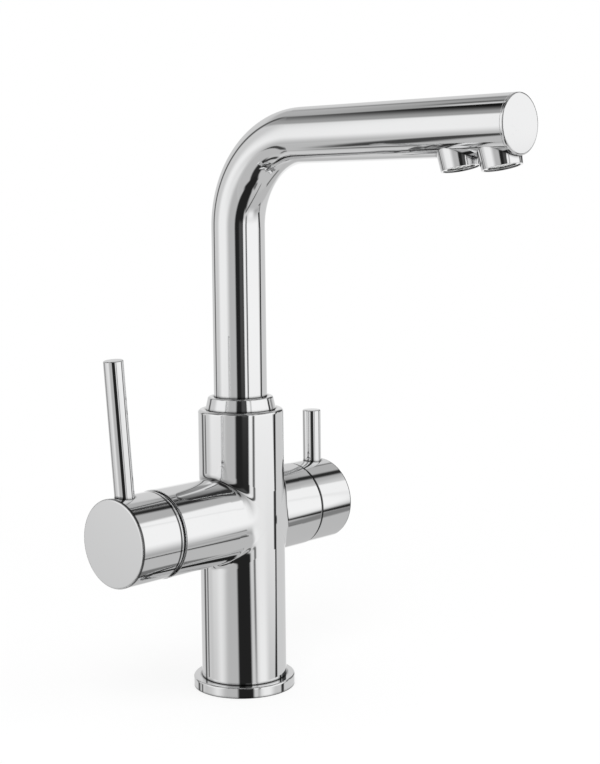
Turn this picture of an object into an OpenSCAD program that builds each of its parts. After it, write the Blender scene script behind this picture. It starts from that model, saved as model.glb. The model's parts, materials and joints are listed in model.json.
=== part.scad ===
// Three-way kitchen tap with a swivelling L spout, a mixer lever for hot and cold
// water on the left and a short lever for filtered water on the right.
// Millimetres, +Z up. The origin is the centre of the base on the worktop plane.
// The spout points along -Y, the mixer side along -X and the filter side along +X.

/* [Body] */
// Diameter of the upright body
body_d = 44.9; // [43.5:0.1:50]
// Height of the body's shoulder above the worktop
body_top = 147.4; // [144:0.1:170]
// Diameter of the base flange
flange_d = 53.6; // [51:0.1:64]
// Thickness of the base flange
flange_h = 5.5; // [4.5:0.1:8]
// Diameter of the cross tube that carries both valves
cross_d = 44.8; // [44.4:0.1:50]
// Height of the cross tube's axis above the worktop
cross_z = 90.5; // [86:0.5:92]
// Distance from the body axis to the mixer end of the cross tube
mixer_reach = 60.7; // [59:0.1:70]
// Distance from the body axis to the filter end of the cross tube
filter_reach = 38.2; // [37.5:0.1:45]

/* [Spout] */
// Outside diameter of the spout tube
spout_d = 28; // [27:0.1:30]
// Wall thickness of the spout tube
spout_wall = 1.5; // [1.2:0.1:2]
// Height of the spout's level part, at its axis
spout_z = 288.3; // [240:0.5:340]
// Distance from the body axis to the face of the spout's end
spout_reach = 176.1; // [150:0.5:240]
// Bend radius of the spout at the tube's axis
bend_r = 46; // [36:0.5:60]
// Diameter of the swivel collar at its foot
collar_foot_d = 37.2; // [35.6:0.1:40]
// Diameter of the swivel collar at its top
collar_top_d = 34.6; // [32:0.1:35.5]
// Height of the swivel collar above the body's shoulder
collar_h = 6.6; // [4:0.1:12]

/* [Outlets] */
// Diameter of both outlet sockets where they leave the spout
socket_d = 20.4; // [19.6:0.1:21.6]
// Diameter of both outlet sockets at their open end
socket_end_d = 18.8; // [17.6:0.1:19.4]
// Distance that the sockets stand below the spout tube
socket_drop = 5; // [4:0.1:8]
// Forward lean of both sockets in degrees
socket_lean = 12; // [6:0.5:14]
// Distance from the spout's end face to the axis of the mains socket
mains_inset = 11.1; // [10.8:0.1:20]
// Distance between the axes of the two sockets
socket_pitch = 22.5; // [22:0.1:30]

/* [Knobs] */
// Diameter of both knobs
knob_d = 44.2; // [44:0.1:46]
// Length of the mixer knob
mixer_knob_len = 26.7; // [25:0.1:34]
// Length of the filter knob
filter_knob_len = 24; // [22:0.1:30]
// Gap between the cross tube and the mixer knob
mixer_gap = 2; // [1:0.1:2.4]
// Gap between the cross tube and the filter knob
filter_gap = 0.8; // [0.4:0.1:1]
// Largest lift of the mixer lever in degrees
lift_max = 10; // [5:0.5:10]

/* [Levers] */
// Diameter of both lever rods
lever_d = 10; // [8:0.1:11]
// Height of the mixer lever's tip above the worktop
mixer_lever_tip = 180; // [140:1:220]
// Outward lean of the mixer lever in degrees
mixer_lever_lean = 4.6; // [0:0.1:6]
// Height of the filter lever's tip above the worktop
filter_lever_tip = 140.6; // [125:0.1:180]

/* [Hidden] */
$fn = 96;

chrome = [0.80, 0.81, 0.83];
brass = [0.80, 0.66, 0.36];
rubber = [0.10, 0.10, 0.11];
white_plastic = [0.90, 0.90, 0.88];
grey_plastic = [0.45, 0.47, 0.50];
ceramic = [0.93, 0.92, 0.88];
steel = [0.62, 0.63, 0.65];

// Clearances shared by the whole part
eps = 0.01;
fit = 0.05;
thread_fit = 0.05;
collar_fit = 0.08;
loose = 0.2;

// Body and base
body_r = body_d / 2;
shoulder_round = 1.5;
flange_r = flange_d / 2;
flange_round = 0.8;
register_r = 20;
register_z = 0;
seal_h = 2;
seal_in_r = register_r + 1.5;
seal_out_r = seal_in_r + 3;
cross_r = cross_d / 2;

// Hose ports and stud holes in the foot of the body
port_r = 4.5;
port_depth = 12;
duct_r = 2.7;
mixer_duct_x = -9;
mixer_duct_y = 6;
filter_duct_x = 9;
stud_r = 2.5;
stud_depth = 14;
stud_x = 0;
stud_y = 14;

// Swivel joint between the body and the spout
spout_r = spout_d / 2;
spout_in_r = spout_r - spout_wall;
washer_h = 0.8;
well_r = spout_r + 2.5;
washer_r = well_r - 0.3;
well_z = body_top - 15;
socket_z = body_top - 29.4;
socket_r = 12;
collar_z = well_z + 4.8;
collar_round = 1;
insert_flange_z = well_z + washer_h;
tube_foot_z = collar_z - washer_h;
insert_r = socket_r - 0.7;
insert_foot_z = socket_z + 2;
nose_r = 4.4;
nose_bore_r = 5;
nose_foot_z = socket_z - 9;
nose_bore_z = nose_foot_z - 1.5;
nose_duct_r = 2.6;
mixed_hole_r = 1.9;
mixed_hole_ring = 7.6;
seal_section = 0.85;
seal_ring_r = socket_r - fit - seal_section;
seal_groove_r = seal_ring_r - seal_section;
seal_pitch = 4;
seal_z = [socket_z + seal_pitch, socket_z + 2 * seal_pitch];
guide_z = socket_z + 10.5;
guide_h = 2.4;
guide_in_r = insert_r - 1;
nose_seal_z = nose_foot_z + 4;
nose_section = 0.65;
nose_seal_r = nose_bore_r - fit - nose_section;
inner_tube_r = 3;
inner_tube_in_r = 2;
inner_tube_end = 3;
inner_tube_z = tube_foot_z + 4;
plug_top_z = tube_foot_z + 14;
mixed_duct_x = -8.6;
mixed_duct_r = 2.3;

// Outlets
cap_h = 1.8;
cap_round = 0.9;
socket_top_r = socket_d / 2;
socket_end_r = socket_end_d / 2;
spigot_r = socket_end_r - 0.3;
spigot_top = socket_drop + 8;
cavity_r = socket_end_r - 1.1;
cavity_h = 8.2;
mains_bore_r = 5.8;
filter_bore_r = 2.5;
mains_y = -(spout_reach - mains_inset);
filter_y = mains_y + socket_pitch;
socket_end_z = spout_z - spout_r - socket_drop;
shell_r = cavity_r - thread_fit;
core_r = shell_r - 1.1;
core_z = 1.2;
core_h = 5;
shell_z = 0.4;
shell_lip_r = core_r - 0.7;
outlet_washer_h = cavity_h - core_z - core_h;
outlet_washer_in_r = 5.6;
filter_boss_r = 5.6;
filter_boss_top = socket_drop + spout_r + 5;
filter_boss_y = filter_y + spout_r * tan(socket_lean);

// Mixer cartridge, measured along the cross tube from the body axis
pivot_u = mixer_reach + 0.4;
cartridge_r = 17.5;
pocket_r = cartridge_r + loose;
pocket_u = pivot_u - 31;
base_u = pocket_u + 0.2;
base_top_u = pocket_u + 4.2;
gasket_top_u = base_top_u + 0.8;
fixed_top_u = gasket_top_u + 3;
moving_top_u = fixed_top_u + 3;
carrier_top_u = moving_top_u + 5.5;
rotor_u = carrier_top_u + 0.3;
ledge_u = rotor_u + 4.2;
cap_top_u = ledge_u + 2;
nut_top_u = cap_top_u + 4;
neck_top_u = pivot_u + 4;
rotor_top_u = pivot_u + 4.5;
ring_top_u = pivot_u + 6;
chamber_r = 14.4;
neck_bore_r = 9.55;
neck_out_r = 12.5;
nut_r = 19.4;
ring_r = knob_d / 2 - 1.35;
ring_bore_r = ring_r + 0.1;
disc_r = chamber_r - loose;
moving_r = 10.5;
mixing_r = 4.15;
mixing_x = -1.2;
mixing_depth = 1.6;
port_x = 4.8;
port_y = 4.8;
mix_port_x = -3.5;
port_hole_r = 2.4;
port_seal_in_r = 3;
port_seal_out_r = 4.5;
port_seal_h = 1.4;
stem_r = 3.5;
ball_r = 3;
stem_arm = pivot_u - moving_top_u - ball_r - 0.6;
ball_neck_r = 2.2;
ball_neck_len = 4;
ball_fit = 0.15;
ball_seat = 0.3;
slot_y = 2 * stem_r + 0.3;
slot_x = 12.8;
pin_r = 1.5;
pin_play = 0.01;
stem_pin_fit = 0.05;
square_w = 8;
square_u = pivot_u + 5.5;
square_len = 16;

// Mixer knob
knob_r = knob_d / 2;
skirt_r = ring_r + 0.25;
rim_u = mixer_reach + mixer_gap;
mixer_face_u = rim_u + mixer_knob_len;
boss_u = pivot_u + 12.5;
hub_u = pivot_u + 7;
hub_r = 8;
square_fit = 0.03;
relief_x = (mixer_gap - 0.15) / sin(lift_max);
knob_round = 0.8;
mixer_lever_u = (boss_u + mixer_face_u) / 2 - 2.1;
lever_r = lever_d / 2;
lever_fit = 0.02;
lever_foot = 9.5;
lever_chamfer = 0.4;
grub_r = 2.5;
grub_len = 8;
grub_hex_r = 1.45;
grub_hex_depth = 3;
grub_inset = 4;
mixer_grub_u = square_u + square_len - grub_inset;

// Filter valve, measured along the cross tube from the body axis
seat_u = filter_reach - 22.2;
seat_h = 2;
valve_r = 10.4;
valve_bore_r = valve_r + thread_fit;
valve_foot_u = seat_u + seat_h;
water_r = 12;
water_u = valve_foot_u + 1;
water_top_u = valve_foot_u + 10;
valve_flange_u = filter_reach - 4.2;
valve_flange_h = 3.6;
valve_flange_r = 15.5;
valve_well_r = 17;
valve_neck_top_u = filter_reach + 7.8;
valve_neck_r = 8;
valve_chamber_r = 8.8;
valve_chamber_top_u = valve_foot_u + 9;
quarter_disc_r = 8.6;
quarter_disc_h = 2.5;
quarter_hole_r = 2.2;
quarter_hole_x = 4.4;
driver_w = 4;
driver_len = 15;
driver_h = 2.5;
driver_u = valve_foot_u + 2 * quarter_disc_h;
spindle_r = 4;
spindle_bore_r = spindle_r + fit;
spindle_square = 5.5;
filter_rim_u = filter_reach + filter_gap;
filter_face_u = filter_rim_u + filter_knob_len;
clip_u = valve_neck_top_u + 0.2;
clip_h = 0.7;
filter_hub_u = clip_u + clip_h + 0.4;
filter_boss_u = filter_hub_u + 1.5;
filter_cavity_r = 18.5;
spindle_top_u = filter_face_u - 4.7;
filter_lever_u = (filter_boss_u + filter_face_u) / 2 - 0.4;
filter_lever_foot = 8;
filter_grub_u = filter_lever_u;
window_r = 2.4;
window_u = valve_chamber_top_u - 2.7;
spindle_seal_u = [valve_flange_u - 3, valve_flange_u + 2];
spindle_section = 0.7;
spindle_seal_r = spindle_bore_r - 0.03 - spindle_section;
headwork_section = 0.6;
headwork_seal_u = valve_flange_u - 2;
headwork_seal_r = valve_bore_r - 0.02 - headwork_section;
glide_in_r = valve_well_r + 1.8;
glide_out_r = glide_in_r + 2.4;
glide_h = 2;
glide_u = filter_reach - glide_h + filter_gap - 0.1;
filtered_duct_u = valve_foot_u + 3;
filtered_duct_z = cross_z + 7;

// Places of the moving frames
module mixer_side() {
    translate([0, 0, cross_z])
    rotate([0, -90, 0])
    children();
}

module filter_side() {
    translate([0, 0, cross_z])
    rotate([0, 90, 0])
    children();
}

// Frame of an outlet: its origin is the centre of the open end, +Z runs up its axis
module outlet_at(y) {
    translate([0, y - socket_drop * tan(socket_lean), socket_end_z])
    rotate([-socket_lean, 0, 0])
    children();
}

// Basic shapes
module drum(r, from, to) {
    translate([0, 0, from])
    cylinder(r = r, h = to - from);
}

module band(r_out, r_in, from, to) {
    difference() {
        drum(r_out, from, to);
        drum(r_in, from - 1, to + 1);
    }
}

module o_ring(r, section, z) {
    translate([0, 0, z])
    rotate_extrude()
    translate([r, 0])
    circle(r = section, $fn = 32);
}

// A post with a rounded upper edge
module rounded_post(r, from, to, edge) {
    rotate_extrude() {
        translate([0, from])
        square([r, to - from - edge]);
        translate([0, from])
        square([r - edge, to - from]);
        translate([r - edge, to - edge])
        circle(r = edge);
    }
}

// A drum with a small chamfer at its far end
module chamfered_drum(r, from, to, edge) {
    drum(r, from, to - edge);
    translate([0, 0, to - edge])
    cylinder(r1 = r, r2 = r - edge, h = edge);
}

module duct(from, to, r) {
    d = to - from;
    length = norm(d);
    translate(from)
    rotate([0, acos(d[2] / length), atan2(d[1], d[0])])
    cylinder(r = r, h = length);
}

// Body
module body_solid() {
    rounded_post(body_r, flange_h, body_top, shoulder_round);
    drum(register_r, register_z, flange_h + eps);
    mixer_side() drum(cross_r, 0, mixer_reach);
    filter_side() drum(cross_r, 0, filter_reach);
}

module spout_well() {
    drum(well_r + thread_fit, well_z, body_top + 1);
    drum(socket_r, socket_z, well_z + 1);
    drum(nose_bore_r, nose_bore_z, socket_z + 1);
}

module mixer_pocket() {
    mixer_side() {
        drum(pocket_r, pocket_u, cap_top_u);
        drum(nut_r + thread_fit, cap_top_u - eps, nut_top_u);
        drum(ring_bore_r, nut_top_u - eps, mixer_reach + 1);
    }
}

module filter_pocket() {
    filter_side() {
        drum(valve_bore_r, seat_u, filter_reach);
        drum(water_r, water_u, water_top_u);
        drum(valve_well_r, valve_flange_u, filter_reach + 1);
        drum(glide_out_r + fit, glide_u, filter_reach + 1);
    }
}

module water_ducts() {
    for (side = [-1, 1]) {
        y = side * mixer_duct_y;
        duct([mixer_duct_x, y, register_z + port_depth - 1], [mixer_duct_x, y, cross_z + port_x], duct_r);
        duct([mixer_duct_x, y, cross_z + port_x], [-pocket_u - 1, side * port_y, cross_z + port_x], port_hole_r);
        duct([mixer_duct_x, y, register_z - 1], [mixer_duct_x, y, register_z + port_depth], port_r);
    }
    duct([filter_duct_x, 0, register_z - 1], [filter_duct_x, 0, register_z + port_depth], port_r);
    duct([filter_duct_x, 0, register_z + port_depth - 1], [filter_duct_x, 0, cross_z], duct_r);
    duct([filter_duct_x - duct_r, 0, cross_z], [seat_u + 1, 0, cross_z], duct_r);
    duct([-pocket_u - 1, 0, cross_z + mix_port_x], [mixed_duct_x + 1, 0, cross_z + mix_port_x], mixed_duct_r);
    duct([mixed_duct_x, 0, cross_z + mix_port_x - mixed_duct_r], [mixed_duct_x, 0, socket_z + 1], mixed_duct_r);
    duct([filtered_duct_u, 0, filtered_duct_z], [0, 0, nose_bore_z + 1], nose_duct_r);
}

module stud_holes() {
    for (side = [-1, 1])
        translate([stud_x, side * stud_y, 0])
        drum(stud_r, register_z - 1, register_z + stud_depth);
}

module body_casting() {
    color(chrome)
    difference() {
        body_solid();
        spout_well();
        mixer_pocket();
        filter_pocket();
        water_ducts();
        stud_holes();
    }
}

module base_flange() {
    color(chrome)
    difference() {
        rounded_post(flange_r, 0, flange_h, flange_round);
        drum(register_r + fit, -1, flange_h + 1);
        band(seal_out_r, seal_in_r, -1, seal_h);
    }
}

module deck_seal() {
    color(rubber)
    band(seal_out_r, seal_in_r, 0, seal_h);
}

// Swivel joint
module swivel_collar() {
    color(chrome)
    difference() {
        union() {
            drum(well_r, collar_z, body_top);
            translate([0, 0, body_top])
            cylinder(r1 = collar_foot_d / 2, r2 = collar_top_d / 2, h = collar_h - collar_round);
            rounded_post(collar_top_d / 2, body_top + collar_h - 2 * collar_round,
                         body_top + collar_h, collar_round);
        }
        drum(spout_r + collar_fit, collar_z - 1, body_top + collar_h + 1);
    }
}

module lower_slip_washer() {
    color(white_plastic)
    band(washer_r, socket_r + 0.2, well_z, insert_flange_z);
}

module upper_slip_washer() {
    color(white_plastic)
    band(washer_r, spout_r + collar_fit, tube_foot_z, collar_z);
}

module spout_insert() {
    color(brass)
    difference() {
        union() {
            drum(nose_r, nose_foot_z, insert_foot_z + 1);
            drum(insert_r, insert_foot_z, insert_flange_z + eps);
            drum(washer_r, insert_flange_z, tube_foot_z);
            drum(spout_in_r - 0.02, tube_foot_z - eps, plug_top_z);
        }
        drum(nose_duct_r, nose_foot_z - 1, plug_top_z + 1);
        drum(inner_tube_r + 0.02, inner_tube_z, plug_top_z + 1);
        for (a = [0 : 60 : 300])
            rotate([0, 0, a])
            translate([mixed_hole_ring, 0, 0])
            drum(mixed_hole_r, insert_foot_z - 1, plug_top_z + 1);
        for (z = seal_z)
            band(insert_r + 1, seal_groove_r, z - seal_section - 0.05, z + seal_section + 0.05);
        band(insert_r + 1, guide_in_r, guide_z, guide_z + guide_h);
        band(nose_r + 1, nose_seal_r - nose_section, nose_seal_z - nose_section - 0.05,
             nose_seal_z + nose_section + 0.05);
    }
}

module spout_seals() {
    color(rubber)
    for (z = seal_z)
        o_ring(seal_ring_r, seal_section, z);
}

module nose_seal() {
    color(rubber)
    o_ring(nose_seal_r, nose_section, nose_seal_z);
}

module guide_ring() {
    color(white_plastic)
    band(socket_r - fit, guide_in_r, guide_z + 0.05, guide_z + guide_h - 0.05);
}

// Spout: an upright leg, a bend and a level leg
module spout_path(r, from_z, to_y) {
    drum(r, from_z, spout_z - bend_r);
    translate([0, -bend_r, spout_z - bend_r])
    rotate([90, 0, 90])
    rotate_extrude(angle = 90)
    translate([bend_r, 0])
    circle(r = r);
    translate([0, -bend_r, spout_z])
    rotate([90, 0, 0])
    cylinder(r = r, h = to_y - bend_r);
}

module spout_tube() {
    color(chrome)
    difference() {
        spout_path(spout_r, tube_foot_z, spout_reach - cap_h);
        spout_path(spout_in_r, tube_foot_z - 1, spout_reach - cap_h + 1);
        for (y = [mains_y, filter_y])
            outlet_at(y) drum(spigot_r + 0.02, -1, spigot_top);
    }
}

module spout_end_cap() {
    color(chrome)
    translate([0, -(spout_reach - cap_h), spout_z])
    rotate([90, 0, 0])
    rounded_post(spout_r, 0, cap_h, cap_round);
}

module inner_tube() {
    color(white_plastic)
    difference() {
        spout_path(inner_tube_r, inner_tube_z, -filter_boss_y - inner_tube_end);
        spout_path(inner_tube_in_r, inner_tube_z - 1, -filter_boss_y - inner_tube_end + 1);
    }
}

module tube_outside() {
    translate([0, -bend_r, spout_z])
    rotate([90, 0, 0])
    cylinder(r = spout_r, h = spout_reach);
}

// A socket: a taper that is seated on the tube and a spigot through the tube's wall
module socket_shell(y) {
    difference() {
        outlet_at(y) cylinder(r1 = socket_end_r, r2 = socket_top_r, h = socket_drop + 6);
        tube_outside();
    }
    outlet_at(y) drum(spigot_r, 0, spigot_top);
}

module mains_socket() {
    color(chrome)
    difference() {
        socket_shell(mains_y);
        outlet_at(mains_y) {
            drum(cavity_r, -1, cavity_h);
            drum(mains_bore_r, cavity_h - 1, spigot_top + 1);
        }
    }
}

module filter_socket() {
    color(chrome)
    difference() {
        union() {
            socket_shell(filter_y);
            outlet_at(filter_y) drum(filter_boss_r, spigot_top - 1, filter_boss_top);
        }
        outlet_at(filter_y) drum(cavity_r, -1, cavity_h);
        outlet_at(filter_y) drum(filter_bore_r, cavity_h - 1, socket_drop + spout_r + 1);
        translate([0, filter_boss_y, spout_z])
        rotate([-90, 0, 0]) {
            drum(inner_tube_r + 0.02, inner_tube_end, filter_boss_r + 1);
            drum(inner_tube_in_r, 0, inner_tube_end + 1);
        }
    }
}

module outlet_shell(y) {
    color(grey_plastic)
    outlet_at(y) {
        band(shell_r, core_r + 0.03, shell_z, core_z + core_h);
        band(core_r + 0.04, shell_lip_r, shell_z, core_z);
    }
}

module mains_aerator_shell() {
    outlet_shell(mains_y);
}

module filter_outlet_shell() {
    outlet_shell(filter_y);
}

// A perforated disc in rings of holes
module perforated_core(rings, hole_r) {
    difference() {
        drum(core_r, core_z, core_z + core_h);
        drum(hole_r, core_z - 1, core_z + core_h + 1);
        for (ring = [1 : rings])
            for (i = [0 : 6 * ring - 1])
                rotate([0, 0, i * 60 / ring])
                translate([ring * (core_r - 0.9) / (rings + 0.25), 0, 0])
                drum(hole_r, core_z - 1, core_z + core_h + 1);
    }
}

module mains_aerator_core() {
    color(white_plastic)
    outlet_at(mains_y) perforated_core(3, 0.5);
}

module filter_outlet_core() {
    color(white_plastic)
    outlet_at(filter_y) perforated_core(2, 0.8);
}

module outlet_washer(y) {
    color(rubber)
    outlet_at(y) band(cavity_r - 0.1, outlet_washer_in_r, core_z + core_h, cavity_h);
}

module mains_aerator_washer() {
    outlet_washer(mains_y);
}

module filter_outlet_washer() {
    outlet_washer(filter_y);
}

// Mixer cartridge: ports at the floor of the pocket
module at_ports() {
    for (p = [[port_x, -port_y], [port_x, port_y], [mix_port_x, 0]])
        translate([p[0], p[1], 0])
        children();
}

module port_seals() {
    color(rubber)
    mixer_side()
    at_ports()
    band(port_seal_out_r, port_seal_in_r, pocket_u, pocket_u + port_seal_h);
}

module cartridge_base() {
    color(white_plastic)
    mixer_side()
    difference() {
        drum(cartridge_r, base_u, base_top_u);
        at_ports() {
            drum(port_hole_r, base_u - 1, base_top_u + 1);
            band(port_seal_out_r, port_seal_in_r, base_u - 1, pocket_u + port_seal_h);
        }
    }
}

module disc_gasket() {
    color(rubber)
    mixer_side()
    difference() {
        drum(disc_r, base_top_u, gasket_top_u);
        at_ports() drum(port_hole_r, base_top_u - 1, gasket_top_u + 1);
    }
}

module mixer_fixed_disc() {
    color(ceramic)
    mixer_side()
    difference() {
        drum(disc_r, gasket_top_u, fixed_top_u);
        at_ports() drum(port_hole_r, gasket_top_u - 1, fixed_top_u + 1);
    }
}

module mixer_moving_disc() {
    color(ceramic)
    mixer_side()
    difference() {
        drum(moving_r, fixed_top_u, moving_top_u);
        translate([mixing_x, 0, 0])
        drum(mixing_r, fixed_top_u - 1, fixed_top_u + mixing_depth);
    }
}

module disc_carrier() {
    color(grey_plastic)
    mixer_side()
    difference() {
        drum(moving_r + 0.3, moving_top_u, carrier_top_u);
        drum(ball_r + ball_fit, moving_top_u + ball_seat, carrier_top_u + 1);
    }
}

module cartridge_housing() {
    color(white_plastic)
    mixer_side()
    difference() {
        union() {
            drum(cartridge_r, base_top_u, cap_top_u);
            drum(neck_out_r, base_top_u, neck_top_u);
        }
        drum(chamber_r, base_top_u - 1, ledge_u);
        drum(neck_bore_r, ledge_u - 1, neck_top_u + 1);
    }
}

module cartridge_rotor() {
    color(grey_plastic)
    mixer_side()
    difference() {
        union() {
            drum(chamber_r - loose, rotor_u, ledge_u - 0.1);
            drum(neck_bore_r - fit, rotor_u, rotor_top_u);
        }
        translate([-slot_x / 2, -slot_y / 2, rotor_u - 1])
        cube([slot_x, slot_y, rotor_top_u - rotor_u + 2]);
        translate([0, 0, pivot_u])
        rotate([90, 0, 0])
        cylinder(r = pin_r + pin_play, h = 2 * neck_bore_r + 2, center = true);
    }
}

module pivot_pin() {
    color(steel)
    mixer_side()
    translate([0, 0, pivot_u])
    rotate([90, 0, 0])
    cylinder(r = pin_r, h = 2 * neck_bore_r - 1.2, center = true);
}

module cartridge_stem() {
    color(brass)
    mixer_side()
    difference() {
        union() {
            translate([0, 0, pivot_u - stem_arm])
            sphere(r = ball_r, $fn = 48);
            drum(ball_neck_r, pivot_u - stem_arm, pivot_u - stem_arm + ball_neck_len + 0.5);
            drum(stem_r, pivot_u - stem_arm + ball_neck_len, square_u + eps);
            translate([-square_w / 2, -square_w / 2, square_u])
            cube([square_w, square_w, square_len]);
        }
        translate([0, 0, pivot_u])
        rotate([90, 0, 0])
        cylinder(r = pin_r + stem_pin_fit, h = 2 * slot_x, center = true);
    }
}

module cartridge_nut() {
    color(brass)
    mixer_side()
    difference() {
        drum(nut_r, cap_top_u, nut_top_u);
        drum(neck_out_r + 0.3, cap_top_u - 1, nut_top_u + 1);
        for (a = [0 : 90 : 270])
            rotate([0, 0, a])
            translate([16, 0, nut_top_u - 2])
            cylinder(r = 1.5, h = 3);
    }
}

// The rounded ring that shows in the gap behind the mixer knob
module neck_ring() {
    color(chrome)
    mixer_side()
    difference() {
        union() {
            drum(ring_r, nut_top_u, pivot_u);
            translate([0, 0, pivot_u])
            rotate_extrude()
            intersection() {
                circle(r = ring_r);
                square([ring_r, ring_top_u - pivot_u]);
            }
        }
        drum(ring_r - 2.2, nut_top_u - 1, ring_top_u - 1.6);
        drum(neck_out_r + 0.4, nut_top_u, ring_top_u + 1);
    }
}

module lever_line(u, lean) {
    translate([0, 0, u])
    rotate([0, 90 - lean, 0])
    children();
}

module mixer_knob() {
    color(chrome)
    mixer_side()
    difference() {
        rounded_post(knob_r, rim_u, mixer_face_u, knob_round);
        difference() {
            drum(skirt_r, rim_u - 1, boss_u);
            drum(hub_r, hub_u, boss_u + 1);
        }
        translate([-relief_x, 0, rim_u])
        rotate([0, lift_max, 0])
        translate([-2 * knob_r, -2 * knob_r, -knob_r])
        cube([2 * knob_r, 4 * knob_r, knob_r]);
        translate([-square_w / 2 - square_fit, -square_w / 2 - square_fit, hub_u - 1])
        cube([square_w + 2 * square_fit, square_w + 2 * square_fit, square_u + square_len - hub_u + 1]);
        lever_line(mixer_lever_u, mixer_lever_lean) drum(lever_r + lever_fit, lever_foot, 2 * knob_r);
        translate([0, 0, mixer_grub_u])
        rotate([0, -90, 0])
        drum(grub_r + thread_fit, 0, 2 * knob_r);
    }
}

module lever_rod(foot, tip) {
    color(chrome)
    chamfered_drum(lever_r, foot, tip, lever_chamfer);
}

module mixer_lever() {
    mixer_side()
    lever_line(mixer_lever_u, mixer_lever_lean)
    lever_rod(lever_foot, (mixer_lever_tip - cross_z) / cos(mixer_lever_lean));
}

// A grub screw that presses on a flat at the given distance from the axis
module grub_screw(seat) {
    color(steel)
    rotate([0, -90, 0])
    difference() {
        drum(grub_r, seat, seat + grub_len);
        translate([0, 0, seat + grub_len - grub_hex_depth])
        cylinder(r = grub_hex_r, h = grub_hex_depth + 1, $fn = 6);
    }
}

module mixer_grub_screw() {
    mixer_side()
    translate([0, 0, mixer_grub_u])
    grub_screw(square_w / 2);
}

// Filter valve
module filter_seat_seal() {
    color(rubber)
    filter_side()
    band(quarter_disc_r, quarter_disc_r - 2, seat_u, valve_foot_u);
}

module filter_fixed_disc() {
    color(ceramic)
    filter_side()
    difference() {
        drum(quarter_disc_r, valve_foot_u, valve_foot_u + quarter_disc_h);
        for (side = [-1, 1])
            translate([0, side * quarter_hole_x, 0])
            drum(quarter_hole_r, valve_foot_u - 1, valve_foot_u + quarter_disc_h + 1);
    }
}

module filter_moving_disc() {
    color(ceramic)
    filter_side()
    difference() {
        drum(quarter_disc_r, valve_foot_u + quarter_disc_h, valve_foot_u + 2 * quarter_disc_h);
        for (side = [-1, 1])
            translate([side * quarter_hole_x, 0, 0])
            drum(quarter_hole_r, valve_foot_u, valve_foot_u + 3 * quarter_disc_h);
    }
}

module headwork_body() {
    color(brass)
    filter_side()
    difference() {
        union() {
            drum(valve_r, valve_foot_u, valve_flange_u + eps);
            translate([0, 0, valve_flange_u])
            cylinder(r = valve_flange_r, h = valve_flange_h, $fn = 6);
            drum(valve_neck_r, valve_flange_u, valve_neck_top_u);
        }
        drum(valve_chamber_r, valve_foot_u - 1, valve_chamber_top_u);
        drum(spindle_bore_r, valve_foot_u, valve_neck_top_u + 1);
        for (a = [0 : 90 : 270])
            rotate([0, 0, a])
            translate([0, 0, window_u])
            rotate([0, 90, 0])
            cylinder(r = window_r, h = 2 * valve_r);
        band(valve_r + 1, headwork_seal_r - headwork_section, headwork_seal_u - headwork_section - 0.05,
             headwork_seal_u + headwork_section + 0.05);
    }
}

module headwork_seal() {
    color(rubber)
    filter_side()
    o_ring(headwork_seal_r, headwork_section, headwork_seal_u);
}

module headwork_spindle() {
    color(brass)
    filter_side()
    difference() {
        union() {
            translate([-driver_w / 2, -driver_len / 2, driver_u])
            cube([driver_w, driver_len, driver_h]);
            drum(spindle_r, driver_u + driver_h - eps, filter_hub_u);
            translate([-spindle_square / 2, -spindle_square / 2, filter_hub_u - eps])
            cube([spindle_square, spindle_square, spindle_top_u - filter_hub_u]);
        }
        for (u = spindle_seal_u)
            band(spindle_r + 1, spindle_seal_r - spindle_section, u - spindle_section - 0.05,
                 u + spindle_section + 0.05);
        band(spindle_r + 1, spindle_r - 0.7, clip_u, clip_u + clip_h);
    }
}

module spindle_seals() {
    color(rubber)
    filter_side()
    for (u = spindle_seal_u)
        o_ring(spindle_seal_r, spindle_section, u);
}

module spindle_clip() {
    color(steel)
    filter_side()
    difference() {
        band(spindle_r + 2.2, spindle_r - 0.65, clip_u + 0.05, clip_u + clip_h - 0.05);
        translate([0, -1.2, clip_u - 1])
        cube([2 * spindle_r, 2.4, 3]);
    }
}

module filter_glide_ring() {
    color(rubber)
    filter_side()
    band(glide_out_r, glide_in_r, glide_u, glide_u + glide_h);
}

module filter_knob() {
    color(chrome)
    filter_side()
    difference() {
        rounded_post(knob_r, filter_rim_u, filter_face_u, knob_round);
        difference() {
            drum(filter_cavity_r, filter_rim_u - 1, filter_boss_u);
            drum(hub_r, filter_hub_u, filter_boss_u + 1);
        }
        translate([-spindle_square / 2 - square_fit, -spindle_square / 2 - square_fit, filter_hub_u - 1])
        cube([spindle_square + 2 * square_fit, spindle_square + 2 * square_fit,
              spindle_top_u - filter_hub_u + 1]);
        translate([0, 0, filter_lever_u])
        rotate([0, -90, 0])
        drum(lever_r + lever_fit, filter_lever_foot, 2 * knob_r);
        translate([0, 0, filter_grub_u])
        rotate([0, 90, 0])
        drum(grub_r + thread_fit, 0, 2 * knob_r);
    }
}

module filter_lever() {
    filter_side()
    translate([0, 0, filter_lever_u])
    rotate([0, -90, 0])
    lever_rod(filter_lever_foot, filter_lever_tip - cross_z);
}

module filter_grub_screw() {
    filter_side()
    translate([0, 0, filter_grub_u])
    rotate([0, 180, 0])
    grub_screw(spindle_square / 2);
}

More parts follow.
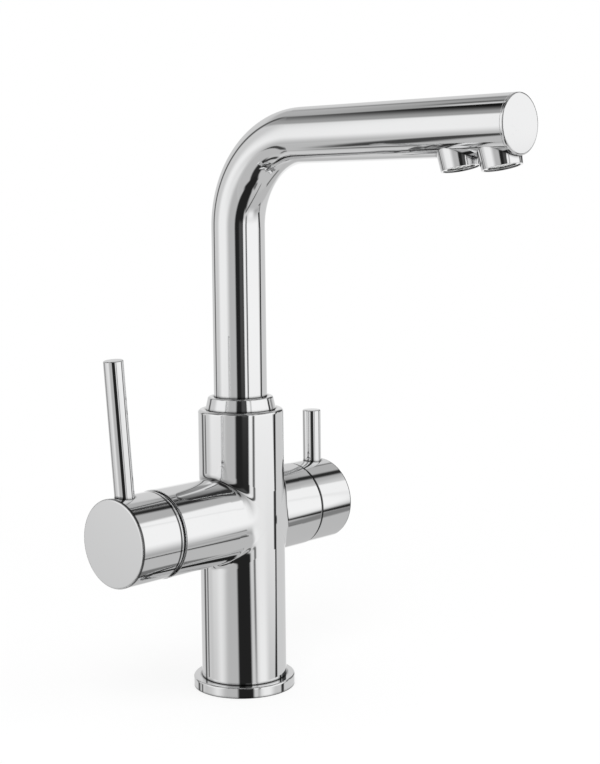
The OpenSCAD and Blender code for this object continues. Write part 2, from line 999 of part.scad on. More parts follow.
body_casting();
base_flange();
deck_seal();
swivel_collar();
spout_tube();
spout_end_cap();
spout_insert();
spout_seals();
nose_seal();
guide_ring();
lower_slip_washer();
upper_slip_washer();
inner_tube();
mains_socket();
filter_socket();
mains_aerator_shell();
mains_aerator_core();
mains_aerator_washer();
filter_outlet_shell();
filter_outlet_core();
filter_outlet_washer();
port_seals();
cartridge_base();
disc_gasket();
mixer_fixed_disc();
mixer_moving_disc();
disc_carrier();
cartridge_housing();
cartridge_rotor();
pivot_pin();
cartridge_stem();
cartridge_nut();
neck_ring();
mixer_knob();
mixer_lever();
mixer_grub_screw();
filter_seat_seal();
filter_fixed_disc();
filter_moving_disc();
headwork_body();
headwork_seal();
headwork_spindle();
spindle_seals();
spindle_clip();
filter_glide_ring();
filter_knob();
filter_lever();
filter_grub_screw();
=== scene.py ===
import json
import math
import bpy
from mathutils import Matrix, Vector


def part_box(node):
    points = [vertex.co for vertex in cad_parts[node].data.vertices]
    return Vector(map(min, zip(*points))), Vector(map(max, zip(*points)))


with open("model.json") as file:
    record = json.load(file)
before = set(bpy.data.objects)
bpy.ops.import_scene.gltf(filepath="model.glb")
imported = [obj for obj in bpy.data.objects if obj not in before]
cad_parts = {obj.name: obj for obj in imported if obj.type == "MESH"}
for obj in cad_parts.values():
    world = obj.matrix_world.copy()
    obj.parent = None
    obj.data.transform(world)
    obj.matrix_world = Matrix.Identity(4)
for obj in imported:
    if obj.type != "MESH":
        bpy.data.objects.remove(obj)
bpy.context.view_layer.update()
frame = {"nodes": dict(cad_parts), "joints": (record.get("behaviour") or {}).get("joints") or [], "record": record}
nodes = frame["nodes"]


# Sizes and places that the finishes follow, in metres and degrees

def ends_along_x(node):
    """The lowest and highest x of a node."""
    low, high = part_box(node)
    return low.x, high.x


BODY_RADIUS = 0.02245
CROSS_TUBE_RADIUS = 0.0224
LEVER_RADIUS = 0.005
# The foot of a lever is its x on the cross tube's axis
MIXER_LEVER_FOOT = -0.0794
MIXER_LEVER_LEAN = 4.6
FILTER_LEVER_FOOT = 0.0555
joints = {joint["name"]: joint for joint in frame["joints"]}
cross_tube_height = joints["mixer_turn"]["pos_m"][2]
mixer_knob_face, mixer_knob_back = ends_along_x("mixer_knob")
filter_knob_back, filter_knob_face = ends_along_x("filter_knob")


# Small helpers for shader trees

NUMBER = "NodeSocketFloat"
VECTOR = "NodeSocketVector"
WHITE = (1, 1, 1, 1)


def tone(grey):
    """Linear light for a grey given as it looks on screen, from 0 to 255."""
    value = grey / 255
    return value / 12.92 if value <= 0.04045 else ((value + 0.055) / 1.055) ** 2.4


def add(tree, kind, **settings):
    """A new node with its settings."""
    node = tree.nodes.new(kind)
    for name, value in settings.items():
        setattr(node, name, value)
    return node


def link(tree, source, target):
    """Links two sockets."""
    tree.links.new(source, target)


def feed(tree, target, value):
    """Links a socket, or sets a plain value."""
    if isinstance(value, bpy.types.NodeSocket):
        link(tree, value, target)
    else:
        target.default_value = value


def maths(tree, operation, a, b=0.0, c=0.0, clamp=False):
    """One step of arithmetic on numbers."""
    node = add(tree, "ShaderNodeMath", operation=operation, use_clamp=clamp)
    for socket, value in zip(node.inputs, (a, b, c)):
        feed(tree, socket, value)
    return node.outputs[0]


def vectors(tree, operation, a, b=None, scale=None):
    """One step of arithmetic on vectors. It gives the outputs, as some steps end in a number."""
    node = add(tree, "ShaderNodeVectorMath", operation=operation)
    feed(tree, node.inputs[0], a)
    if b is not None:
        feed(tree, node.inputs[1], b)
    if scale is not None:
        feed(tree, node.inputs["Scale"], scale)
    return node.outputs


def unit(tree, vector):
    """The vector, made one unit long."""
    return vectors(tree, "NORMALIZE", vector)["Vector"]


def mixed(tree, share, a, b):
    """A vector between two others. The sockets go by number, as each kind of data has its own set."""
    node = add(tree, "ShaderNodeMix", data_type="VECTOR")
    factor, first, second, result = node.inputs[0], node.inputs[4], node.inputs[5], node.outputs[1]
    for socket, value in zip((factor, first, second), (share, a, b)):
        link(tree, value, socket)
    return result


def spread(tree, value, low, high, to_low, to_high, smooth=False):
    """Maps a value from one range onto another."""
    node = add(tree, "ShaderNodeMapRange")
    if smooth:
        node.interpolation_type = "SMOOTHSTEP"
    for socket, setting in zip(node.inputs, (value, low, high, to_low, to_high)):
        feed(tree, socket, setting)
    return node.outputs[0]


def place_on_piece(tree):
    """Where the shaded point is, in the piece's own coordinates."""
    return add(tree, "ShaderNodeTexCoord").outputs["Object"]


def split_up(tree, vector):
    """The x, y and z of a vector."""
    node = add(tree, "ShaderNodeSeparateXYZ")
    link(tree, vector, node.inputs[0])
    return node.outputs


def noise(tree, place, scale, detail=2.0):
    """A cloudy pattern from 0 to 1."""
    node = add(tree, "ShaderNodeTexNoise")
    link(tree, place, node.inputs["Vector"])
    feed(tree, node.inputs["Scale"], scale)
    node.inputs["Detail"].default_value = detail
    return node.outputs["Fac"]


def either_shader(tree, share, first, second):
    """The second shader by its share, and the first by what is left."""
    node = add(tree, "ShaderNodeMixShader")
    for socket, value in zip(node.inputs, (share, first, second)):
        link(tree, value, socket)
    return node.outputs[0]


def new_group(name, inputs, outputs):
    """An empty shader group: its tree, the sockets that it is given, and those that it puts out."""
    tree = bpy.data.node_groups.new(name, "ShaderNodeTree")
    for label, kind, default in inputs:
        socket = tree.interface.new_socket(label, in_out="INPUT", socket_type=kind)
        socket.default_value = default
    for label, kind in outputs:
        tree.interface.new_socket(label, in_out="OUTPUT", socket_type=kind)
    return tree, add(tree, "NodeGroupInput").outputs, add(tree, "NodeGroupOutput").inputs


def use_group(tree, group, **values):
    """A group placed in a tree with its own values. An underscore stands for a space in a label."""
    node = add(tree, "ShaderNodeGroup", node_tree=group)
    for name, value in values.items():
        feed(tree, node.inputs[name.replace("_", " ")], value)
    return node.outputs


# Effects that several finishes share

def make_soft_edges():
    """Rounds the look of tight corners, and marks them where the rounded normal turns away."""
    tree, given, out = new_group("soft edges", [("Radius", NUMBER, 0.0005)],
                                 [("Normal", VECTOR), ("Edge", NUMBER)])
    flat, turned = 0.995, 0.85
    bevel = add(tree, "ShaderNodeBevel", samples=6)
    link(tree, given["Radius"], bevel.inputs["Radius"])
    rounded = bevel.outputs["Normal"]
    face = add(tree, "ShaderNodeNewGeometry").outputs["Normal"]
    agreement = vectors(tree, "DOT_PRODUCT", rounded, face)["Value"]
    link(tree, rounded, out["Normal"])
    link(tree, spread(tree, agreement, flat, turned, 0.0, 1.0), out["Edge"])
    return tree


def make_painted_crevice_shade():
    """Painted shade in seams, where parts meet and in narrow gaps, darker the less of the surroundings a point
    sees. Depth is the light left in the deepest.
    """
    tree, given, out = new_group("painted_crevice_shade", [("Reach", NUMBER, 0.0016), ("Depth", NUMBER, 0.04)],
                                 [("Open", NUMBER)])
    deepest, clear = 0.5, 0.93
    shade = add(tree, "ShaderNodeAmbientOcclusion", samples=8)
    link(tree, given["Reach"], shade.inputs["Distance"])
    link(tree, spread(tree, shade.outputs["AO"], deepest, clear, given["Depth"], 1.0), out["Open"])
    return tree


def make_polish():
    """Faint polishing haze, hairlines and dried water marks on plated metal.

    Haze and Hairlines are the roughness that each of the two adds at most.
    """
    tree, given, out = new_group("polish", [("Haze", NUMBER, 0.02), ("Hairlines", NUMBER, 0.012)],
                                 [("Roughness", NUMBER), ("Tint", NUMBER), ("Height", NUMBER)])
    place = place_on_piece(tree)
    haze = noise(tree, place, scale=38.0, detail=3.0)
    stretch = add(tree, "ShaderNodeMapping")
    link(tree, place, stretch.inputs["Vector"])
    stretch.inputs["Scale"].default_value = (1.0, 1.0, 0.06)
    hairlines = noise(tree, stretch.outputs["Vector"], scale=2400.0)

    drop_edge, ring_width = 0.58, 0.02
    patch_start, patch_full = 0.62, 0.72
    drops = noise(tree, place, scale=150.0)
    from_edge = maths(tree, "ABSOLUTE", maths(tree, "SUBTRACT", drops, drop_edge))
    rings = spread(tree, from_edge, 0.0, ring_width, 1.0, 0.0, smooth=True)
    patches = spread(tree, haze, patch_start, patch_full, 0.0, 1.0, smooth=True)
    water = maths(tree, "MULTIPLY", rings, patches)

    water_roughness, dulling = 0.02, 0.015
    rough = maths(tree, "MULTIPLY", haze, given["Haze"])
    rough = maths(tree, "MULTIPLY_ADD", hairlines, given["Hairlines"], rough)
    link(tree, maths(tree, "MULTIPLY_ADD", water, water_roughness, rough), out["Roughness"])
    tint = maths(tree, "MULTIPLY_ADD", water, -dulling, 1.0)
    link(tree, maths(tree, "MULTIPLY_ADD", haze, -dulling, tint), out["Tint"])

    haze_height, hairline_height = 0.6, 0.08
    height = maths(tree, "MULTIPLY", hairlines, hairline_height)
    link(tree, maths(tree, "MULTIPLY_ADD", haze, haze_height, height), out["Height"])
    return tree


def make_moulded_grain():
    """Fine grain and slight shade changes of moulded plastic and rubber."""
    tree, given, out = new_group("moulded grain", [("Scale", NUMBER, 900.0)],
                                 [("Shade", NUMBER), ("Roughness", NUMBER), ("Height", NUMBER)])
    low, high = 0.3, 0.7
    darkest, lightest = 0.9, 1.06
    smoothest, roughest = -0.06, 0.08
    place = place_on_piece(tree)
    grain = noise(tree, place, given["Scale"], detail=4.0)
    cloud = noise(tree, place, scale=90.0)
    link(tree, spread(tree, cloud, low, high, darkest, lightest), out["Shade"])
    link(tree, spread(tree, grain, low, high, smoothest, roughest), out["Roughness"])
    link(tree, grain, out["Height"])
    return tree


def make_turning_marks():
    """Fine rings that a lathe leaves on brass and steel, with a few stains."""
    tree, given, out = new_group("turning marks", [("Pitch", NUMBER, 2500.0)],
                                 [("Shade", NUMBER), ("Roughness", NUMBER), ("Height", NUMBER)])
    low, high = 0.3, 0.75
    clean_shade, stained_shade = 1.05, 0.82
    clean_roughness, stained_roughness = -0.05, 0.1
    place = place_on_piece(tree)
    rings = add(tree, "ShaderNodeTexWave", wave_type="BANDS", bands_direction="DIAGONAL")
    link(tree, place, rings.inputs["Vector"])
    link(tree, given["Pitch"], rings.inputs["Scale"])
    rings.inputs["Distortion"].default_value = 0.6
    stain = noise(tree, place, scale=160.0, detail=5.0)
    link(tree, spread(tree, stain, low, high, clean_shade, stained_shade), out["Shade"])
    link(tree, spread(tree, stain, low, high, clean_roughness, stained_roughness), out["Roughness"])
    link(tree, rings.outputs["Fac"], out["Height"])
    return tree


def make_cast_fillets():
    """Blends the look of the cross tube and the upright body, as the fillets of a casting do.

    Place marks where the two blend, and Hollow marks the fold between them above the cross tube, which the chrome
    paints darker as painted shade.
    """
    tree, given, out = new_group("cast fillets",
                                 [("Normal", VECTOR, (0.0, 0.0, 1.0)), ("Body radius", NUMBER, 0.02),
                                  ("Tube radius", NUMBER, 0.02), ("Tube height", NUMBER, 0.1)],
                                 [("Normal", VECTOR), ("Place", NUMBER), ("Hollow", NUMBER)])
    mixer_fillet, filter_fillet = 0.0035, 0.0008
    mixer_lead, filter_lead = 0.0040, 0.0023
    front_power, front_turn = 6.0, 0.15
    blend_reach, tube_weight = 0.0095, 2.0
    skin, touching = 0.00015, 0.00001
    x, y, z = split_up(tree, place_on_piece(tree))
    up = maths(tree, "SUBTRACT", z, given["Tube height"])
    mixer_side = maths(tree, "LESS_THAN", x, 0.0)

    def outside_of(radius, across):
        """How far the point is outside a cylinder that is round in y and in the way across."""
        squares = maths(tree, "MULTIPLY_ADD", across, across, maths(tree, "MULTIPLY", y, y))
        return maths(tree, "SUBTRACT", maths(tree, "SQRT", squares), radius)

    def by_side(on_mixer_side, on_filter_side):
        """One length on the mixer's side of the body, and another on the filter's."""
        return maths(tree, "MULTIPLY_ADD", mixer_side, on_mixer_side - on_filter_side, on_filter_side)

    off_body = outside_of(given["Body radius"], x)
    off_tube = outside_of(given["Tube radius"], up)

    # Front is 1 at the front and back of the casting, and falls to 0 over the top and under it
    front = maths(tree, "DIVIDE", maths(tree, "ABSOLUTE", y), given["Tube radius"], clamp=True)
    front = maths(tree, "POWER", front, front_power)

    # The body takes over from the tube over a fillet's width, and starts sooner at the front
    lead = maths(tree, "MULTIPLY", front, by_side(mixer_lead, filter_lead))
    lead = maths(tree, "ADD", lead, maths(tree, "MAXIMUM", off_tube, 0.0))
    lead = maths(tree, "SUBTRACT", lead, maths(tree, "MAXIMUM", off_body, 0.0))
    lead = maths(tree, "DIVIDE", lead, by_side(mixer_fillet, filter_fillet))
    body_share = spread(tree, lead, -1.0, 1.0, 0.0, 1.0, smooth=True)

    # The normals of the two rounds, blended by that share
    on_tube = maths(tree, "GREATER_THAN", off_body, touching)
    narrowed = maths(tree, "MULTIPLY_ADD", maths(tree, "MULTIPLY", front, on_tube), -front_turn, 1.0)
    of_body = add(tree, "ShaderNodeCombineXYZ")
    link(tree, maths(tree, "MULTIPLY", x, narrowed), of_body.inputs["X"])
    link(tree, y, of_body.inputs["Y"])
    of_tube = add(tree, "ShaderNodeCombineXYZ")
    link(tree, y, of_tube.inputs["Y"])
    link(tree, up, of_tube.inputs["Z"])
    blended = mixed(tree, body_share, unit(tree, of_tube.outputs[0]), unit(tree, of_body.outputs[0]))

    # The blend holds near the crossing, on the casting's outer skin, and not in its bores
    farther = maths(tree, "MAXIMUM", off_body, maths(tree, "MULTIPLY", off_tube, tube_weight))
    near = maths(tree, "LESS_THAN", farther, blend_reach)
    on_skin = maths(tree, "GREATER_THAN", maths(tree, "MAXIMUM", off_body, off_tube), -skin)
    place = maths(tree, "MULTIPLY", near, on_skin)
    link(tree, place, out["Place"])
    link(tree, unit(tree, mixed(tree, place, given["Normal"], unit(tree, blended))), out["Normal"])

    # The fold is where both have the same share; the chrome paints it darker there, as painted shade
    from_fold = maths(tree, "ABSOLUTE", maths(tree, "MULTIPLY_ADD", body_share, 2.0, -1.0))
    fold = maths(tree, "SUBTRACT", 1.0, from_fold)
    fold = maths(tree, "MULTIPLY", fold, maths(tree, "SUBTRACT", 1.0, front))
    fold = maths(tree, "MULTIPLY", fold, maths(tree, "GREATER_THAN", up, 0.0))
    link(tree, maths(tree, "MULTIPLY", fold, place), out["Hollow"])
    return tree


def make_painted_rim_line():
    """Paints a fine dark line round a knob, as painted shade where its rounded rim turns away."""
    tree, given, out = new_group("rim line", [("Place", NUMBER, 0.05), ("Half", NUMBER, 0.0005)],
                                 [("Line", NUMBER)])
    soft = 0.0003
    x = split_up(tree, place_on_piece(tree))["X"]
    away = maths(tree, "ABSOLUTE", maths(tree, "SUBTRACT", x, given["Place"]))
    end = maths(tree, "ADD", given["Half"], soft)
    link(tree, spread(tree, away, given["Half"], end, 1.0, 0.0), out["Line"])
    return tree


def make_round_rod():
    """The true round of a lever's rod about its own axis, which leaves its flat ends as they are."""
    tree, given, out = new_group("round rod",
                                 [("Normal", VECTOR, (0.0, 0.0, 1.0)), ("Foot", VECTOR, (0.0, 0.0, 0.0)),
                                  ("Along", VECTOR, (0.0, 0.0, 1.0)), ("Radius", NUMBER, 0.005)],
                                 [("Normal", VECTOR)])
    side_depth = 0.00006
    off = vectors(tree, "SUBTRACT", place_on_piece(tree), given["Foot"])["Vector"]
    run = vectors(tree, "DOT_PRODUCT", off, given["Along"])["Value"]
    on_axis = vectors(tree, "SCALE", given["Along"], scale=run)["Vector"]
    spoke = vectors(tree, "SUBTRACT", off, on_axis)["Vector"]
    inwards = maths(tree, "SUBTRACT", given["Radius"], vectors(tree, "LENGTH", spoke)["Value"])
    side = maths(tree, "LESS_THAN", inwards, side_depth)
    turn = add(tree, "ShaderNodeVectorTransform", vector_type="NORMAL",
               convert_from="OBJECT", convert_to="WORLD")
    link(tree, spoke, turn.inputs[0])
    link(tree, mixed(tree, side, given["Normal"], unit(tree, turn.outputs[0])), out["Normal"])
    return tree


soft_edges = make_soft_edges()
painted_crevice_shade = make_painted_crevice_shade()
polish = make_polish()
moulded_grain = make_moulded_grain()
turning_marks = make_turning_marks()
cast_fillets = make_cast_fillets()
painted_rim_line = make_painted_rim_line()
round_rod = make_round_rod()


# Finishes: an edge shade above 0 lightens the rounded edges, and one below 0 darkens them

CHROME_COLOUR = (0.857, 0.859, 0.862)
CHROME_ROUGHNESS = 0.012
LIGHT_IN_GAPS = 0.04
HOLLOW_SHADE = 0.75
RIM_LINE_SHADE = 0.88


def new_finish(name):
    """A new material, its tree and its shader."""
    material = bpy.data.materials.new(name)
    material.use_nodes = True
    tree = material.node_tree
    return material, tree, tree.nodes["Principled BSDF"]


def shaded(tree, colour, factor):
    """The colour, lighter or darker by a factor that changes over the surface."""
    return vectors(tree, "SCALE", colour, scale=factor)["Vector"]


def bumped(tree, height, strength, distance, normal):
    """A normal that follows fine heights."""
    node = add(tree, "ShaderNodeBump")
    node.inputs["Strength"].default_value = strength
    node.inputs["Distance"].default_value = distance
    link(tree, height, node.inputs["Height"])
    link(tree, normal, node.inputs["Normal"])
    return node.outputs["Normal"]


def make_chrome(name, edge_radius=0.0004, edge_shade=0.04, gap_reach=0.0016, painted_rim_lines=(),
                rod_foot=None, rod_lean=0.0, cast=False):
    """Bright chrome plate over polished brass.

    A rim line is the x of a painted dark line round a knob, painted shade where its rounded rim turns
    away, with half its width. A lever's rod is given by the x of its foot, on the cross tube's axis, and by
    its lean towards the mixer's side.
    """
    material, tree, shader = new_finish(name)
    marks = use_group(tree, polish, Haze=0.02, Hairlines=0.012)
    edges = use_group(tree, soft_edges, Radius=edge_radius)
    normal = edges["Normal"]
    # The plate is painted darker in seams and gaps, as painted shade
    open_share = use_group(tree, painted_crevice_shade, Reach=gap_reach, Depth=LIGHT_IN_GAPS)["Open"]
    if cast:
        crossing = use_group(tree, cast_fillets, Normal=normal, Body_radius=BODY_RADIUS,
                             Tube_radius=CROSS_TUBE_RADIUS, Tube_height=cross_tube_height)
        normal = crossing["Normal"]
        # At the crossing the painted crevice shade is lifted, and the fold above the cross tube gets painted shade
        # instead
        open_share = maths(tree, "MAXIMUM", open_share, crossing["Place"])
        open_share = maths(tree, "MULTIPLY_ADD", crossing["Hollow"], -HOLLOW_SHADE, open_share)
    # The plate's rounded edges are painted lighter with an edge shade above 0, as painted highlight, and darker
    # below 0, as painted shade
    tint = maths(tree, "MULTIPLY_ADD", edges["Edge"], edge_shade, marks["Tint"])
    tint = maths(tree, "MULTIPLY", tint, open_share)
    # Each rim line paints a dark band round the knob, as painted shade
    for place, half in painted_rim_lines:
        line = use_group(tree, painted_rim_line, Place=place, Half=half)["Line"]
        tint = maths(tree, "MULTIPLY", tint, maths(tree, "MULTIPLY_ADD", line, -RIM_LINE_SHADE, 1.0))
    if rod_foot is not None:
        lean = math.radians(rod_lean)
        normal = use_group(tree, round_rod, Normal=normal, Foot=(rod_foot, 0.0, cross_tube_height),
                           Along=(-math.sin(lean), 0.0, math.cos(lean)), Radius=LEVER_RADIUS)["Normal"]
    link(tree, shaded(tree, CHROME_COLOUR, tint), shader.inputs["Base Color"])
    link(tree, maths(tree, "ADD", marks["Roughness"], CHROME_ROUGHNESS), shader.inputs["Roughness"])
    link(tree, bumped(tree, marks["Height"], strength=0.05, distance=0.00001, normal=normal),
         shader.inputs["Normal"])
    shader.inputs["Metallic"].default_value = 1.0
    return material


def make_turned_metal(name, colour, roughness):
    """Bare brass or steel with lathe rings and a few stains."""
    edge_shade = 0.15
    material, tree, shader = new_finish(name)
    marks = use_group(tree, turning_marks, Pitch=2500.0)
    edges = use_group(tree, soft_edges, Radius=0.0003)
    shade = maths(tree, "MULTIPLY_ADD", edges["Edge"], edge_shade, marks["Shade"])
    link(tree, shaded(tree, colour, shade), shader.inputs["Base Color"])
    link(tree, maths(tree, "ADD", marks["Roughness"], roughness), shader.inputs["Roughness"])
    link(tree, bumped(tree, marks["Height"], strength=0.15, distance=0.00002, normal=edges["Normal"]),
         shader.inputs["Normal"])
    shader.inputs["Metallic"].default_value = 1.0
    return material


def make_moulded(name, colour, roughness, grain_scale, grain_depth, gap_reach=0.002):
    """Plastic, rubber or ceramic with a fine moulded grain."""
    edge_shade = 0.2
    material, tree, shader = new_finish(name)
    marks = use_group(tree, moulded_grain, Scale=grain_scale)
    edges = use_group(tree, soft_edges, Radius=0.0002)
    shade = maths(tree, "MULTIPLY_ADD", edges["Edge"], edge_shade, marks["Shade"])
    # Seams and gaps are painted darker, as painted shade
    open_share = use_group(tree, painted_crevice_shade, Reach=gap_reach, Depth=LIGHT_IN_GAPS)["Open"]
    shade = maths(tree, "MULTIPLY", shade, open_share)
    link(tree, shaded(tree, colour, shade), shader.inputs["Base Color"])
    link(tree, maths(tree, "ADD", marks["Roughness"], roughness), shader.inputs["Roughness"])
    link(tree, bumped(tree, marks["Height"], strength=0.4, distance=grain_depth, normal=edges["Normal"]),
         shader.inputs["Normal"])
    return material


def dress_pieces():
    """Gives each node its own finish, or else the finish of its material slot."""
    chrome = make_chrome("chrome plate")
    # Collar, flange, casting and levers get their rounded edges painted darker, as painted shade
    collar_chrome = make_chrome("chrome plate on the collar and flange", edge_radius=0.0007,
                                edge_shade=-0.6)
    own_finish = {
        "body_casting": make_chrome("chrome plate on the casting", edge_radius=0.0005,
                                    edge_shade=-0.3, cast=True),
        "mixer_knob": make_chrome("chrome plate on the mixer knob", edge_radius=0.0008,
                                  painted_rim_lines=((mixer_knob_face + 0.0009, 0.0004),
                                             (mixer_knob_back - 0.0014, 0.0004))),
        "filter_knob": make_chrome("chrome plate on the filter knob", edge_radius=0.0008,
                                   painted_rim_lines=((filter_knob_back + 0.0003, 0.0005),
                                              (filter_knob_face - 0.0004, 0.0004))),
        "mixer_lever": make_chrome("chrome plate on the mixer lever", edge_radius=0.0005,
                                   edge_shade=-0.3, rod_foot=MIXER_LEVER_FOOT,
                                   rod_lean=MIXER_LEVER_LEAN),
        "filter_lever": make_chrome("chrome plate on the filter lever", edge_radius=0.0005,
                                    edge_shade=-0.3, rod_foot=FILTER_LEVER_FOOT),
        "neck_ring": make_chrome("chrome plate on the neck ring", edge_radius=0.0003,
                                 gap_reach=0.0004),
        "swivel_collar": collar_chrome,
        "base_flange": collar_chrome,
        "mains_aerator_shell": chrome,
        "filter_outlet_shell": chrome,
    }
    slot_finish = {
        "chrome": chrome,
        "brass": make_turned_metal("machined brass", (0.72, 0.55, 0.27), roughness=0.24),
        "steel": make_turned_metal("stainless steel", (0.58, 0.58, 0.60), roughness=0.28),
        "rubber": make_moulded("black rubber", (0.022, 0.022, 0.024), roughness=0.5,
                               grain_scale=1400.0, grain_depth=0.00003),
        # The plastics' longer reaches paint the outlets' holes darker, as painted shade
        "white_plastic": make_moulded("white moulded plastic", (0.74, 0.75, 0.74), roughness=0.3,
                                      grain_scale=1100.0, grain_depth=0.00002, gap_reach=0.003),
        # Its colour is the plastic's own dark grey taken nearly to black, as painted shade in the recessed outlets
        "grey_plastic": make_moulded("grey moulded plastic", (0.05, 0.053, 0.06), roughness=0.36,
                                     grain_scale=1100.0, grain_depth=0.00002, gap_reach=0.006),
        "ceramic": make_moulded("lapped ceramic", (0.84, 0.82, 0.76), roughness=0.14,
                                grain_scale=2600.0, grain_depth=0.000004),
    }
    for part in frame["record"]["subparts"]:
        finish = own_finish.get(part["node"], slot_finish[part["material_slot"]])
        for slot in nodes[part["node"]].material_slots:
            slot.material = finish


# The camera: its place in metres, its directions, and its framing in pixels of the photograph

CAMERA_PLACE = Vector((-0.55484, -0.55158, 0.25453))
CAMERA_RIGHT = Vector((0.675, -0.7377, -0.0111)).normalized()
CAMERA_AHEAD = Vector((0.7349, 0.6737, -0.0778)).normalized()
FOCAL_PIXELS = 1497.6
FRAME_HEIGHT_PIXELS = 764
SIGHT_LINE_ABOVE_MIDDLE_PIXELS = 62


def place_camera():
    """The camera of the photograph. The frame is higher than wide, so its height spans the sensor."""
    camera = bpy.data.cameras.new("camera")
    camera.lens = camera.sensor_width * FOCAL_PIXELS / FRAME_HEIGHT_PIXELS
    camera.shift_y = -SIGHT_LINE_ABOVE_MIDDLE_PIXELS / FRAME_HEIGHT_PIXELS
    camera.clip_start = 0.02
    camera.clip_end = 30
    holder = bpy.data.objects.new("camera", camera)
    bpy.context.scene.collection.objects.link(holder)
    up = CAMERA_RIGHT.cross(CAMERA_AHEAD)
    turn = Matrix((CAMERA_RIGHT, up, -CAMERA_AHEAD)).transposed()
    holder.matrix_world = Matrix.Translation(CAMERA_PLACE) @ turn.to_4x4()
    bpy.context.scene.camera = holder


# The studio: what the plated surfaces reflect

PLAIN_LEVEL = 0.86
PLATE_REFLECTS = 0.86
ROOM_GREY = 200


def card(name, centre, half, low, high, grey, soft, soft_end, lean=0.0):
    """A card, lamp or seam of the studio, as its name and what its group is given.

    Bearing 0 is behind the camera, and bearings grow to its right. Height 0 is level. Half is half the
    width, and low and high are the ends, all in degrees. Grey is how it looks in the plate. The edges
    are soft by so many degrees to each side. A lean shifts the centre by that much for each degree of
    height.
    """
    return name, dict(Centre=centre, Half=half, Low=low, High=high, Level=tone(grey) / PLATE_REFLECTS,
                      Soft=soft, Soft_end=soft_end, Lean=lean)


# Name, centre, half, low, high, grey, soft, soft end, lean. A later card lies over an earlier one.
STUDIO = [
    card("low wash", 0, 181, -91, -27, 182, 1, 3),
    card("floor", 0, 181, -91, -52, 188, 1, 5),
    card("white floor, left", -142, 28, -75, -42, 201, 5, 3),
    card("upper wash", 0, 181, 36, 91, 172, 1, 4),
    card("ceiling", 0, 181, 50, 91, 148, 1, 4),
    card("dark ceiling over the camera", -32, 60, 47, 78, 45, 8, 5),
    card("ceiling seam, left", -164, 6, 41, 51, 132, 5, 2),
    card("ceiling shade, right", 142, 9, 44.5, 62, 98, 6, 1.5),
    card("ceiling seam, right", 162, 2.5, 35, 43, 112, 2, 1.5),
    card("dark ceiling rail, right", 128.5, 6, 39, 70, 42, 3.5, 2),
    card("rear flag", 144, 18, 3, 33, 66, 4, 3),
    card("upper backdrop", 180, 14, 8, 42, 203, 6, 3),
    card("backdrop", 180, 17, -27, 7, 232, 8, 5),
    card("left wash", -46, 52, -27, 31, 178, 8, 3),
    card("left lamp", -70, 24, -15, 50, 236, 12, 12),
    card("left lamp foot", -62, 9, -24, -8, 226, 12, 6),
    card("left lamp top", -92, 26, 31.5, 70, 152, 6, 3),
    card("dark ceiling rail, left", -106, 16, 44, 62, 20, 4, 8),
    card("dark ceiling, front right", 52, 44, 42.5, 53, 52, 14, 2),
    card("ceiling slot", -126, 4, 52.8, 60, 205, 3, 1),
    card("ceiling slot edge", -140, 4, 52.5, 60, 80, 3, 1),
    card("left low rail", -43.9, 4, -41, -26.5, 66, 2, 2, 1.37),
    card("left low seam", -107.5, 2.5, -50, -43, 105, 2, 1.5),
    card("left screen edge", -124, 5, -30, 45, 88, 3, 4),
    card("left screen seam", -110, 3, -20, -7.5, 100, 2, 1),
    card("low flag", -30, 50, -74, -53, 40, 8, 3),
    card("low flag, left end", -95, 22, -63.5, -58, 50, 8, 1.5),
    card("low flag, right", 9, 21, -56, -24, 40, 5, 6),
    card("low flag shade, right", 32, 12, -69, -58, 105, 4, 3),
    card("front flag", 5.5, 18, -70, 40, 33, 3.5, 6),
    card("front flag foot", 1, 21, -68, -41, 33, 4, 4),
    card("front flag seam", 13, 7, -8, 40, 72, 4, 4),
    card("slot lamp", 29, 5.5, -11.5, 40, 236, 2, 4),
    card("thin post", 36, 3, -18, 12, 86, 2, 3),
    card("low post", 4.65, 3, -67, -22, 80, 2.5, 3, -1.13),
    card("right wash", 68, 29, -27, 38, 160, 1.5, 3),
    card("right lamp", 68, 28.5, -16, 36, 242, 1.5, 12),
    card("right lamp foot", 55, 14, -26, -12, 234, 10, 6),
    card("right lamp wing", 101.5, 5.5, 0.8, 37, 240, 1.5, 2),
    card("right post", 109, 4.6, -19.5, 30, 40, 2, 1.5, 0.55),
    card("right post foot", 101, 3, -31, -19.5, 125, 1.5, 1.5),
    card("right floor seam", 97, 5, -30.6, -28.8, 62, 2, 0.8),
    card("right floor shade", 143, 22, -53, -46.9, 112, 3, 0.5),
]


def make_studio_card():
    """Lays one card over the light that is already there, by the bearing and height of the ray."""
    labels = ("Under", "Bearing", "Height", "Centre", "Half", "Low", "High", "Level", "Soft", "Soft end",
              "Lean")
    tree, given, out = new_group("studio card", [(label, NUMBER, 0.0) for label in labels],
                                 [("Light", NUMBER)])

    def across_edge(value, edge, soft, before, after):
        """Goes softly from one share to another over an edge."""
        return spread(tree, value, maths(tree, "SUBTRACT", edge, soft), maths(tree, "ADD", edge, soft),
                      before, after, smooth=True)

    middle = maths(tree, "MULTIPLY_ADD", given["Height"], given["Lean"], given["Centre"])
    away = maths(tree, "WRAP", maths(tree, "SUBTRACT", given["Bearing"], middle), 180.0, -180.0)
    within = across_edge(maths(tree, "ABSOLUTE", away), given["Half"], given["Soft"], 1.0, 0.0)
    above = across_edge(given["Height"], given["Low"], given["Soft end"], 0.0, 1.0)
    below = across_edge(given["Height"], given["High"], given["Soft end"], 1.0, 0.0)
    mask = maths(tree, "MULTIPLY", within, maths(tree, "MULTIPLY", above, below))
    change = maths(tree, "SUBTRACT", given["Level"], given["Under"])
    link(tree, maths(tree, "MULTIPLY_ADD", mask, change, given["Under"]), out["Light"])
    return tree


def background(tree, strength):
    """White light of this strength from all round."""
    node = add(tree, "ShaderNodeBackground")
    node.inputs["Color"].default_value = WHITE
    feed(tree, node.inputs["Strength"], strength)
    return node.outputs[0]


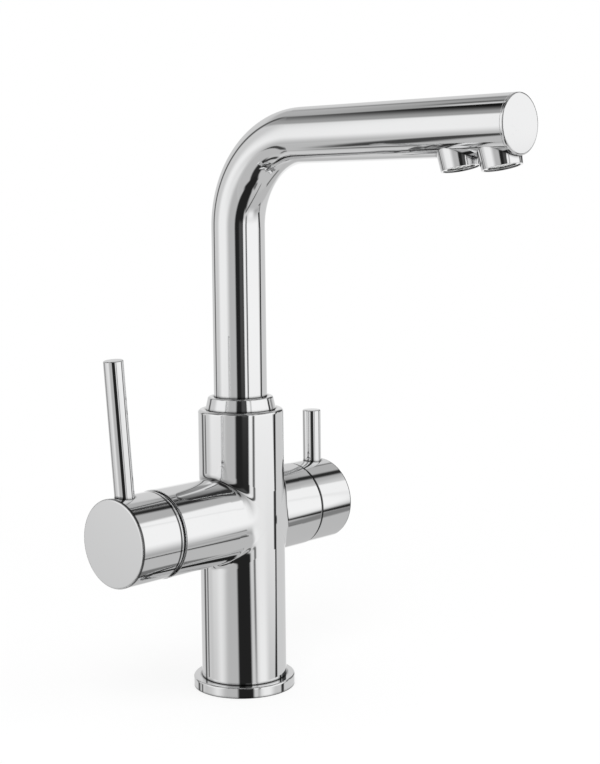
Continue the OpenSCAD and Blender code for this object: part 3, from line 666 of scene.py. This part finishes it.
def light_studio():
    """White to the camera, the cards to mirror-like surfaces, and one plain level to all else."""
    world = bpy.data.worlds.new("studio")
    bpy.context.scene.world = world
    world.use_nodes = True
    tree = world.node_tree
    tree.nodes.clear()
    towards = add(tree, "ShaderNodeTexCoord").outputs["Generated"]
    right, back = (Vector((axis.x, axis.y, 0)).normalized() for axis in (CAMERA_RIGHT, -CAMERA_AHEAD))
    to_right = vectors(tree, "DOT_PRODUCT", towards, right)["Value"]
    to_back = vectors(tree, "DOT_PRODUCT", towards, back)["Value"]
    bearing = maths(tree, "DEGREES", maths(tree, "ARCTAN2", to_right, to_back))
    height = maths(tree, "DEGREES", maths(tree, "ARCSINE", split_up(tree, towards)["Z"]))
    studio_card = make_studio_card()
    light = tone(ROOM_GREY) / PLATE_REFLECTS
    for name, sizes in STUDIO:
        light = use_group(tree, studio_card, Under=light, Bearing=bearing, Height=height, **sizes)["Light"]
        light.node.label = name
    path = add(tree, "ShaderNodeLightPath")
    change = maths(tree, "MULTIPLY", path.outputs["Is Glossy Ray"],
                   maths(tree, "SUBTRACT", light, PLAIN_LEVEL))
    mirrored_or_plain = background(tree, maths(tree, "ADD", change, PLAIN_LEVEL))
    seen = either_shader(tree, path.outputs["Is Camera Ray"], mirrored_or_plain, background(tree, 1.0))
    link(tree, seen, add(tree, "ShaderNodeOutputWorld").inputs["Surface"])


def add_lamp(name, place, aim, size, power):
    """A soft round lamp that neither the camera nor the plate sees."""
    lamp = bpy.data.lights.new(name, "AREA")
    lamp.shape = "DISK"
    lamp.size = size
    lamp.energy = power
    holder = bpy.data.objects.new(name, lamp)
    bpy.context.scene.collection.objects.link(holder)
    holder.location = place
    holder.rotation_euler = (Vector(aim) - Vector(place)).to_track_quat("-Z", "Y").to_euler()
    holder.visible_glossy = False
    holder.visible_camera = False


def lay_floor():
    """A pale floor that is nearly white to the camera and keeps a soft shadow near the tap."""
    size, gap_below_tap = 8, 0.0002
    shadow_radius, white_radius, glow_at_tap = 0.12, 0.6, 0.8
    bpy.ops.mesh.primitive_plane_add(size=size, location=(0, 0, -gap_below_tap))
    floor = bpy.context.object
    floor.name = "floor"
    material, tree, shader = new_finish("pale floor")
    shader.inputs["Base Color"].default_value = (0.93, 0.93, 0.93, 1)
    shader.inputs["Roughness"].default_value = 0.9
    glow = add(tree, "ShaderNodeEmission")
    glow.inputs["Strength"].default_value = 1.0
    from_tap = vectors(tree, "LENGTH", place_on_piece(tree))["Value"]
    glow_share = spread(tree, from_tap, shadow_radius, white_radius, glow_at_tap, 1.0, smooth=True)
    camera_ray = add(tree, "ShaderNodeLightPath").outputs["Is Camera Ray"]
    seen = either_shader(tree, maths(tree, "MULTIPLY", camera_ray, glow_share),
                         shader.outputs[0], glow.outputs[0])
    link(tree, seen, tree.nodes["Material Output"].inputs["Surface"])
    floor.data.materials.append(material)
    floor.visible_glossy = False


MIDDLE_OF_TAP = (0, -0.05, 0.15)
dress_pieces()
light_studio()
add_lamp("key lamp", (-0.9, -0.7, 1.3), MIDDLE_OF_TAP, size=0.9, power=9.0)
add_lamp("fill lamp", (0.9, -0.9, 0.9), MIDDLE_OF_TAP, size=1.0, power=4.0)
lay_floor()
place_camera()
bpy.context.scene.view_settings.view_transform = "Standard"
